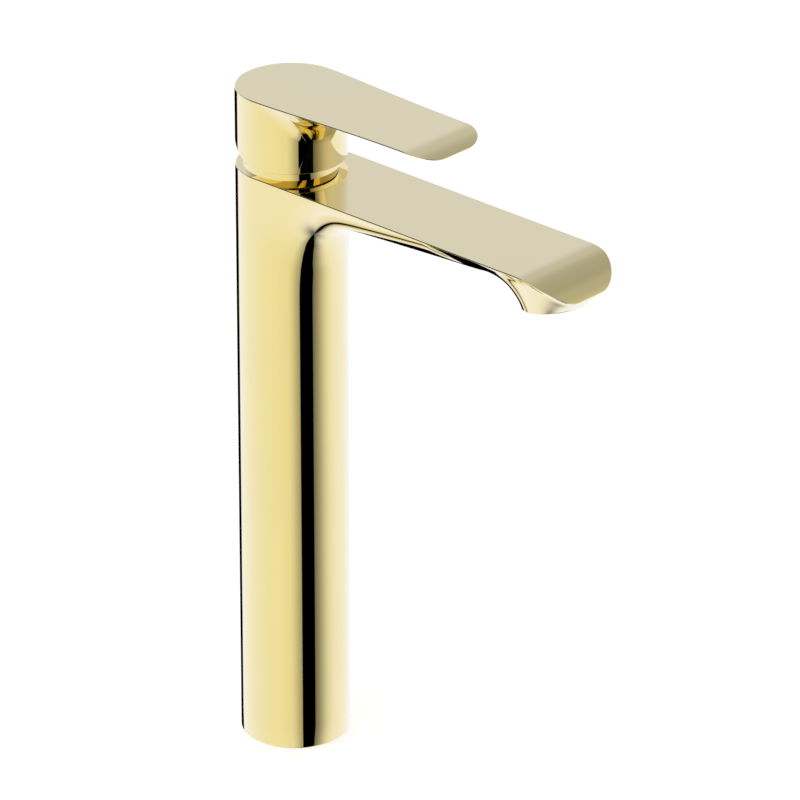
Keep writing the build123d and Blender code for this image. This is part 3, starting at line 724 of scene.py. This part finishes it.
def lever_underside(shell, lever):
    """Underside between the hub's wall and the outline; returns the outline, the wall's line and turns."""
    radius, fillet = lever.hub_radius, lever.fillet
    stations = np.concatenate([
        np.linspace(0, 1, 57)[1:] ** 1.15 * lever.straight_end,
        lever.straight_end + lever.corner_length * np.sin(np.linspace(0, math.pi / 2, 25)[1:]),
    ])
    plan = np.concatenate([[(0, radius)], lever.outline(stations, LEVER_FRONT), [(0, -radius)]])
    bearing = np.arctan2(plan[:, 1], plan[:, 0])
    hub = np.column_stack([np.cos(bearing), np.sin(bearing)])
    overhang = np.maximum(np.hypot(plan[:, 0], plan[:, 1]) - radius, 0.0)

    def hang(out):
        """How much lower the underside hangs where it sweeps into the hub's wall."""
        return fillet - np.sqrt(fillet ** 2 - np.clip(fillet - out, 0.0, fillet) ** 2)

    def under(out):
        """Points of the underside at a distance out from the hub's wall."""
        spots = hub * (radius + out)[:, None]
        share = np.clip(spots[:, 1] / lever.outline_half(spots[:, 0]), -1.0, 1.0)
        return np.column_stack([spots, lever.underside(spots[:, 0], share) - hang(out) + hang(overhang)])

    edge = shell.ring(lever.lift(plan))
    rows = [under(overhang * share ** 2) for share in np.linspace(0, 1, 65)[:-1]]
    rows = [[edge[0]] + shell.ring(row[1:-1]) + [edge[-1]] for row in rows] + [edge]
    shell.chain(rows, closed=False)
    return edge, rows[0], bearing


def hub_skin(shell, lever, upper, turns):
    """Hub's wall below its upper line, its lower rim, and its inside with the spindle's socket."""
    radius, inner = lever.hub_radius, lever.inner_radius

    def rim(out, lift=0.0):
        """A radius, and the height of the lower rim there, which rises behind the axis."""
        behind = np.clip(-out * np.cos(turns) - lever.relief_start, 0.0, None)
        return out, lever.hub_bottom + behind * math.tan(lever.turn.relief_angle) + lift

    wall_top, wall_low = shell.place(upper)[:, 2], rim(radius, lever.rim_bevel)[1]
    square = lever.socket_half / np.maximum(np.abs(np.cos(turns)), np.abs(np.sin(turns)))
    profile = [(radius, blend(wall_low, wall_top, share))
               for share in (0.985, 0.95, 0.75, 0.5, 0.25, 0.05, 0.015)]
    profile += [rim(radius - inward, lift) for inward, lift in quarter_round(lever.rim_bevel, 6)]
    profile += [
        rim(lever.lip_radius), rim(lever.lip_radius, lever.lip_height), rim(inner, lever.lip_height),
        (inner, lever.ceiling), (lever.boss_radius, lever.ceiling), (lever.boss_radius, lever.boss_bottom),
        (square, lever.boss_bottom), (square, lever.socket_top),
    ]
    wall = [upper] + [shell.ring(circle(turns, out, level)) for out, level in profile]
    shell.chain(wall)
    shell.fan(wall[-1], (0, 0, lever.socket_top))


def lever_top(shell, lever, edge, back):
    """Edge and top inside the outline, with half rounds over the hub's back."""
    front_count, middle = LEVER_FRONT - 1, LEVER_FRONT // 2
    loop = upright_edge(shell, edge + back, lever)
    right, front, left, back = split_loop(loop, (len(edge) - front_count) // 2, front_count)
    first_row = ladder(shell, right, left, front, lever)
    back = back[::-1]
    rings = [[right[0]] + back + [left[0]]]
    for step in range(1, middle):
        share = shell.points[first_row[step]][1] / shell.points[right[0]][1]
        arc = shell.ring(shell.place(back) * (share, share, 1))
        rings.append([first_row[step]] + arc + [first_row[-1 - step]])
    rings.append([first_row[middle]] * len(rings[0]))
    shell.chain(rings, closed=False)


def lever_shell(size, turn):
    """Hub and lever as one watertight skin."""
    shell, lever = Shell(), Lever(size, turn)
    edge, upper, bearing = lever_underside(shell, lever)
    back = shell.ring(circle(HUB_BACK_TURNS, size.hub_radius, lever.edge_z))
    hub_skin(shell, lever, upper + back, np.concatenate([bearing, HUB_BACK_TURNS]))
    lever_top(shell, lever, edge, back)
    return shell


CORNER_POINTS = 6   # round each softened corner of a profile


def soften(profile, radius):
    """Rounds every corner of a closed profile of (out, up) points."""
    soft = []
    count = len(profile)
    for index in range(count):
        before, here, after = (np.array(profile[(index + shift) % count], float) for shift in (-1, 0, 1))
        back, ahead = before - here, after - here
        cut = min(radius, 0.45 * np.linalg.norm(back), 0.45 * np.linalg.norm(ahead))
        start = here + back / np.linalg.norm(back) * cut
        end = here + ahead / np.linalg.norm(ahead) * cut
        for share in np.linspace(0, 1, CORNER_POINTS):
            soft.append((1 - share) ** 2 * start + 2 * share * (1 - share) * here + share ** 2 * end)
    return soft


def turned_shell(profile, place):
    """A closed (out, up) profile turned round an axis; place maps its points to the mixer."""
    shell = Shell()
    turns = np.linspace(0, 2 * math.pi, 129)[:-1]
    rings = [shell.ring(place(circle(turns, out, up))) for out, up in profile]
    shell.chain(rings + rings[:1])
    return shell


def material(name):
    """An empty node material and its tree's starting wire."""
    made = bpy.data.materials.new("finish_" + name)
    made.use_nodes = True
    made.node_tree.nodes.clear()
    return made, Wire(made.node_tree)


def grain(start, scale, detail=3.0, stretch=(1.0, 1.0, 1.0)):
    """Soft noise over the object, about 0 to 1; scale is in waves per metre."""
    where = start.node("ShaderNodeTexCoord", output="Object")
    placed = start.node("ShaderNodeMapping", {"Vector": where, "Scale": stretch})
    return start.node("ShaderNodeTexNoise", {"Vector": placed, "Scale": scale, "Detail": detail})


def surface(start, tint, rough, relief, metallic):
    """A plain surface shader."""
    return start.node("ShaderNodeBsdfPrincipled",
                      {"Base Color": tint, "Metallic": metallic, "Roughness": rough, "Normal": relief})


def gold_finish(finish):
    """Mirror-polished gold plate that pales towards glancing angles."""
    made, start = material("polished_gold")
    cloud = grain(start, scale=22.0)
    polish = grain(start, scale=900.0, detail=2.0, stretch=(1.0, 1.0, 0.08))
    tint = cloud.ramp(0.3, 0.7, 0.0, 1.0).mix(rgba(finish.gold, level=0.985), rgba(finish.gold, level=1.01))
    rough = finish.gold_polish * (0.7 + 0.6 * polish)
    wave = polish.bump(strength=0.02, depth=0.00002)
    gold = surface(start, tint, rough, wave, metallic=1.0)
    pale = surface(start, rgba(finish.gold_rim), rough, wave, metallic=1.0)
    glance = start.node("ShaderNodeLayerWeight", {"Blend": 0.5}, "Facing") ** 1.4
    mixed = start.node("ShaderNodeMixShader", {0: glance, 1: gold, 2: pale})
    start.node("ShaderNodeOutputMaterial", {"Surface": mixed})
    return made


def metal_finish(name, tint, dark, rough, stretch):
    """Turned or drawn metal with fine tool lines."""
    made, start = material(name)
    cloud = grain(start, scale=45.0, detail=4.0)
    lines = grain(start, scale=700.0, detail=2.0, stretch=stretch)
    shade = (0.6 * cloud + 0.4 * lines).ramp(0.25, 0.75, 0.0, 1.0).mix(rgba(tint, dark), rgba(tint))
    relief = lines.bump(strength=0.15, depth=0.00005)
    metal = surface(start, shade, rough * (0.75 + 0.5 * lines), relief, metallic=1.0)
    start.node("ShaderNodeOutputMaterial", {"Surface": metal})
    return made


def moulded_finish(name, tint, dark, rough, strength):
    """Moulded plastic, rubber or fired ceramic with a fine skin."""
    made, start = material(name)
    cloud = grain(start, scale=60.0, detail=4.0)
    skin = grain(start, scale=1600.0)
    shade = cloud.ramp(0.3, 0.7, 0.0, 1.0).mix(rgba(tint, dark), rgba(tint))
    relief = skin.bump(strength, depth=0.00006)
    body = surface(start, shade, rough * (0.85 + 0.3 * skin), relief, metallic=0.0)
    start.node("ShaderNodeOutputMaterial", {"Surface": body})
    return made


def finish_of(name, finish):
    """The material of a slot, made once."""
    known = bpy.data.materials.get("finish_" + name)
    if known:
        return known
    if name == "polished_gold":
        return gold_finish(finish)
    # Tint, level of the darkest spots, roughness, and the stretch of the tool lines.
    metals = {
        "raw_brass": (finish.brass, 0.82, 0.30, (1.0, 1.0, 0.1)),
        "copper": (finish.copper, 0.80, 0.28, (1.0, 1.0, 0.03)),
        "steel": (finish.steel, 0.85, 0.25, (1.0, 1.0, 0.1)),
    }
    # Tint, level of the darkest spots, roughness, and the strength of the skin's relief.
    moulded = {
        "rubber": (finish.rubber, 0.7, 0.72, 0.35),
        "white_acetal": (finish.white_acetal, 0.94, 0.38, 0.12),
        "grey_acetal": (finish.grey_acetal, 0.90, 0.42, 0.15),
        "ceramic": (finish.ceramic, 0.97, 0.12, 0.03),
    }
    if name in metals:
        return metal_finish(name, *metals[name])
    return moulded_finish(name, *moulded[name])


def settings_of(context):
    """The scene's mixer settings."""
    return context.scene.mixer


class MIXER_OT_casting(bpy.types.Operator):
    """Build the column, spout and outlet nose"""
    bl_idname = "mixer.casting"
    bl_label = "Column and spout"

    def execute(self, context):
        settings = settings_of(context)
        piece = casting_shell(in_mm(settings.casting), settings.casting_angles).piece("column_and_spout")
        dress(piece, "body", settings.finish, "polished_gold", "body_casting")
        return {"FINISHED"}


class MIXER_OT_lever(bpy.types.Operator):
    """Build the hub and lever"""
    bl_idname = "mixer.lever"
    bl_label = "Hub and lever"

    def execute(self, context):
        settings = settings_of(context)
        piece = lever_shell(in_mm(settings.lever), settings.lever_angles).piece("hub_and_lever")
        dress(piece, "handle", settings.finish, "polished_gold", "handle")
        return {"FINISHED"}


CAP_DEPTH = 1.6      # mm that the cap goes into the hub
CAP_SEAT = 0.05      # mm to either side of the cap's rim
PIN_HOLE = 0.001     # mm, the radius at which a turned profile stops short of its axis


class MIXER_OT_screw_cap(bpy.types.Operator):
    """Build the cap over the locking screw"""
    bl_idname = "mixer.screw_cap"
    bl_label = "Rear screw cap"

    def execute(self, context):
        settings = settings_of(context)
        size = in_mm(settings.lever)
        radius = size.cap_radius
        rear = math.sqrt(size.hub_radius ** 2 - radius ** 2)
        crown = size.cap_crown + size.hub_radius - rear
        profile = [(PIN_HOLE, -CAP_DEPTH), (radius, -CAP_DEPTH), (radius, -CAP_SEAT)]
        profile += [(radius * math.cos(turn), CAP_SEAT + crown * math.sin(turn))
                    for turn in np.linspace(0.1, math.pi / 2 - 0.001, 10)]

        def place(points):
            return np.stack([-(rear + points[:, 2]), points[:, 1], size.cap_height + points[:, 0]], axis=1)

        piece = turned_shell(profile, place).piece("rear_screw_cap")
        dress(piece, "handle", settings.finish, "polished_gold", "screw_plug")
        return {"FINISHED"}


class MIXER_OT_neck_ring(bpy.types.Operator):
    """Build the neck ring under the hub"""
    bl_idname = "mixer.neck_ring"
    bl_label = "Neck ring"

    def execute(self, context):
        settings = settings_of(context)
        size = in_mm(settings.fitting)
        sunk = in_mm(settings.casting).body_height - size.neck_sink
        web_z = size.neck_top - size.neck_web
        shoulder, inner_corner = (size.neck_radius, sunk), (size.neck_bore, web_z)
        upper = soften([shoulder, (size.neck_brow, size.neck_top), (size.neck_hole, size.neck_top),
                        (size.neck_hole, web_z), inner_corner], size.soft_edge)
        profile = [(size.neck_bore, size.neck_skirt), (size.skirt_radius, size.neck_skirt),
                   (size.skirt_radius, sunk), shoulder, *upper[CORNER_POINTS:-CORNER_POINTS], inner_corner]
        piece = turned_shell(profile, lambda points: points).piece("neck_ring")
        dress(piece, "body", settings.finish, "polished_gold", "cover_ring")
        return {"FINISHED"}


class MIXER_OT_outlet_ring(bpy.types.Operator):
    """Build the ring in the outlet"""
    bl_idname = "mixer.outlet_ring"
    bl_label = "Outlet ring"

    def execute(self, context):
        settings = settings_of(context)
        size, casting = in_mm(settings.fitting), in_mm(settings.casting)
        outer, inner, lip = size.outlet_outer, size.outlet_inner, size.outlet_lip
        top, lip_top = size.outlet_length, size.outlet_lip_height
        profile = [(outer, 0), (outer, top), (inner, top), (inner, lip_top), (lip, lip_top), (lip, 0)]

        def place(points):
            return at_outlet(points, casting, settings.casting_angles.outlet_tilt)

        piece = turned_shell(soften(profile, size.soft_edge), place).piece("outlet_ring")
        dress(piece, "body", settings.finish, "polished_gold", "aerator_housing")
        return {"FINISHED"}


class MIXER_OT_inner_finishes(bpy.types.Operator):
    """Give the inner parts of the CAD model their finishes"""
    bl_idname = "mixer.inner_finishes"
    bl_label = "Inner part finishes"

    def execute(self, context):
        finish = settings_of(context).finish
        finishes = {
            "polished_gold": ("body_casting", "handle", "cover_ring", "aerator_housing", "screw_plug"),
            "raw_brass": ("base_insert", "retaining_nut"),
            "copper": ("hot_riser", "cold_riser"),
            "rubber": ("deck_seal", "riser_seals", "disc_gasket", "inlet_seals", "housing_seal",
                       "aerator_gasket"),
            "white_acetal": ("cartridge_base", "cartridge_housing", "aerator_insert"),
            "grey_acetal": ("turner", "disc_carrier", "stem_adapter"),
            "ceramic": ("fixed_disc", "moving_disc"),
            "steel": ("stem_pin", "spindle", "set_screw", "aerator_screen"),
        }
        for name, nodes in finishes.items():
            for node in nodes:
                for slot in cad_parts[node].material_slots:
                    slot.material = finish_of(name, finish)
        return {"FINISHED"}


FILM_WIDTH = 36.0                              # mm
VIEW_DEPTH = 50.0                              # m that the camera sees
FLOOR_RADII = (4000.0, 1500.0, 500.0, 150.0)   # mm
FLOOR_LEVEL = -0.02                            # mm, just under the mixer's foot


class MIXER_OT_stage(bpy.types.Operator):
    """Set the floor, the room's light and the camera"""
    bl_idname = "mixer.stage"
    bl_label = "Floor, light and camera"

    def execute(self, context):
        studio = settings_of(context).studio
        scene = context.scene
        scene.view_settings.view_transform = "Standard"
        toward = Vector((-math.sin(studio.turn), -math.cos(studio.turn), 0))
        right = Vector((math.cos(studio.turn), -math.sin(studio.turn), 0))
        back = toward * math.cos(studio.rise) + Vector((0, 0, math.sin(studio.rise)))
        up = back.cross(right)
        target = Vector((0, 0, studio.look_height)) + right * studio.frame_right + up * studio.frame_up

        camera_data = bpy.data.cameras.new("camera")
        camera_data.sensor_width = FILM_WIDTH
        camera_data.lens = studio.lens
        camera_data.clip_end = VIEW_DEPTH
        camera = bpy.data.objects.new("camera", camera_data)
        turn = Matrix((right, up, back)).transposed().to_4x4()
        camera.matrix_world = Matrix.Translation(target + back * studio.distance) @ turn
        scene.collection.objects.link(camera)
        scene.camera = camera

        shell = Shell()
        turns = np.linspace(0, 2 * math.pi, 97)[:-1]
        rings = [shell.ring(circle(turns, out, FLOOR_LEVEL)) for out in FLOOR_RADII]
        shell.chain(rings)
        shell.fan(rings[-1], (0, 0, FLOOR_LEVEL))
        floor = shell.piece("floor")
        floor.data.materials.append(floor_finish(studio))
        floor.visible_glossy = False
        room_light(scene, studio, toward, right)
        return {"FINISHED"}


def floor_finish(studio):
    """Plain pale floor, lit evenly."""
    made, start = material("studio_floor")
    mottle = grain(start, scale=3.0)
    tint = mottle.mix(rgba(studio.backdrop, level=0.99), rgba(studio.backdrop))
    plain = start.node("ShaderNodeBsdfPrincipled",
                       {"Base Color": tint, "Roughness": 0.9, "Specular IOR Level": 0.0,
                        "Emission Color": tint, "Emission Strength": 0.55})
    start.node("ShaderNodeOutputMaterial", {"Surface": plain})
    return made


# In the room's light a height of view runs from -1, straight down, to 1, straight up.
# The walls' light level across the dark gap, by degrees from the gap's middle.
GAP_LEVELS = ((-61, 1.0), (-37, 0.94), (-29, 0.79), (-20.7, 0.57), (-13.9, 0.41), (-13.5, 0.0), (13.9, 0.0),
              (14.3, 0.175), (21.8, 0.315), (30.9, 0.52), (40.5, 0.757), (50.5, 0.918), (62.5, 1.0))
GAP_SPAN = 140       # degrees that the levels are laid out over

# Where the dim patches lie, in the mixer's frame.
DOWN, FRONT_PATCH, REAR_PATCH = (0, 0, -1), (0.708, -0.45, 0.545), (-0.1, 0.608, 0.787)


def patch(way, aim, level, tightness):
    """A round patch of a level that fades away from the direction it lies in."""
    return level * way.math("EXPONENT", tightness * (way.dot(aim) - 1))


def dark_gap(way, height, toward, right):
    """Light level across the upright gap to the camera's right; its middle shifts with the height."""
    middle = height.ramp(-0.4735, -0.401, 29.1, 27.9) + height.ramp(-0.3, 0.3, 0.0, 3.2)
    middle = middle - height.ramp(-0.6, -0.475, 0.5, 0.0)
    tight = 1 + height.ramp(-0.6, -0.475, 0.12, 0.0) * height.ramp(-0.9, -0.78, 0.0, 1.0)
    bearing = way.math("ARCTAN2", way.dot(right), way.dot(toward)) * math.degrees(1)
    across = (bearing - middle) * tight / GAP_SPAN + 0.5
    stops = [(0.5 + degrees / GAP_SPAN, level) for degrees, level in GAP_LEVELS]
    walls = way.node("ShaderNodeValToRGB", {"Fac": across}, stops=stops)
    overhead = height.ramp(0.85, 0.97, 1.0, 0.0)
    return (1 - overhead * (1 - walls)) * (1 - patch(way, DOWN, level=0.85, tightness=45.0))


def dark_corner(way, height, toward, right):
    """Share of darkness in the corner behind the mixer, to the camera's left."""
    border = right * 0.617 - toward * 0.679 + Vector((0, 0, 0.398))
    beyond = way.dot(border).ramp(-0.02, 0.02, 0.0, 1.0) * way.dot(right).ramp(-0.03, 0.0, 1.0, 0.0)
    return beyond * height.ramp(-0.25, -0.1, 1.0, 0.0) * height.ramp(-0.85, -0.75, 0.0, 1.0)


def room_light(scene, studio, toward, right):
    """Soft white room with a dimmer ceiling, a dark gap beside the camera and a dark corner behind."""
    world = bpy.data.worlds.new("studio_room")
    scene.world = world
    world.use_nodes = True
    world.node_tree.nodes.clear()
    start = Wire(world.node_tree)
    way = start.node("ShaderNodeTexCoord", output="Generated")
    height = way.dot((0, 0, 1))
    front = start.math("MAXIMUM", way.dot(toward * 0.6 + right * 0.6), 0.0)
    plain = (height - 0.15 * front).ramp(0.2, 0.38, studio.room, studio.ceiling)
    rear = way.dot(toward).ramp(-0.1, 0.3, 1.0, 0.0)
    shade = rear * (height.ramp(0.407, 0.6, 0.0, 0.13) + height.ramp(0.62, 0.73, 0.0, 0.12))
    shade = shade + patch(way, FRONT_PATCH, level=0.09, tightness=8.0)
    shade = shade + patch(way, REAR_PATCH, level=0.42, tightness=40.0)
    lit = plain * dark_gap(way, height, toward, right) * (1 - dark_corner(way, height, toward, right))
    light = start.math("MAXIMUM", lit - shade, 0.0)
    seen = start.node("ShaderNodeLightPath", output="Is Camera Ray")
    shown = light * (1 - seen) + seen
    room = start.node("ShaderNodeBackground", {"Color": rgba(studio.backdrop), "Strength": shown})
    start.node("ShaderNodeOutputWorld", {"Surface": room})


class MIXER_PT_panel(bpy.types.Panel):
    """Lists the mixer's sizes, finishes and build steps"""
    bl_idname = "MIXER_PT_panel"
    bl_label = "Tall basin mixer"
    bl_space_type = "VIEW_3D"
    bl_region_type = "UI"
    bl_category = "Mixer"

    def draw(self, context):
        settings = settings_of(context)
        for key in MixerSettings.__annotations__:
            group = getattr(settings, key)
            box = self.layout.box()
            box.label(text=key.replace("_", " ").capitalize())
            for item in group.__annotations__:
                box.prop(group, item)
        for operator in OPERATORS:
            self.layout.operator(operator.bl_idname)


OPERATORS = (MIXER_OT_stage, MIXER_OT_inner_finishes, MIXER_OT_casting, MIXER_OT_neck_ring,
             MIXER_OT_outlet_ring, MIXER_OT_lever, MIXER_OT_screw_cap)
CLASSES = (CastingSizes, CastingAngles, LeverSizes, LeverAngles, FittingSizes, Finishes, Studio,
           MixerSettings, *OPERATORS, MIXER_PT_panel)


def register():
    for item in CLASSES:
        bpy.utils.register_class(item)
    bpy.types.Scene.mixer = PointerProperty(type=MixerSettings)


def unregister():
    del bpy.types.Scene.mixer
    for item in reversed(CLASSES):
        bpy.utils.unregister_class(item)


def main():
    register()
    bpy.ops.mixer.stage()
    bpy.ops.mixer.inner_finishes()
    bpy.ops.mixer.casting()
    bpy.ops.mixer.neck_ring()
    bpy.ops.mixer.outlet_ring()
    bpy.ops.mixer.lever()
    bpy.ops.mixer.screw_cap()


if __name__ == "__main__":
    main()
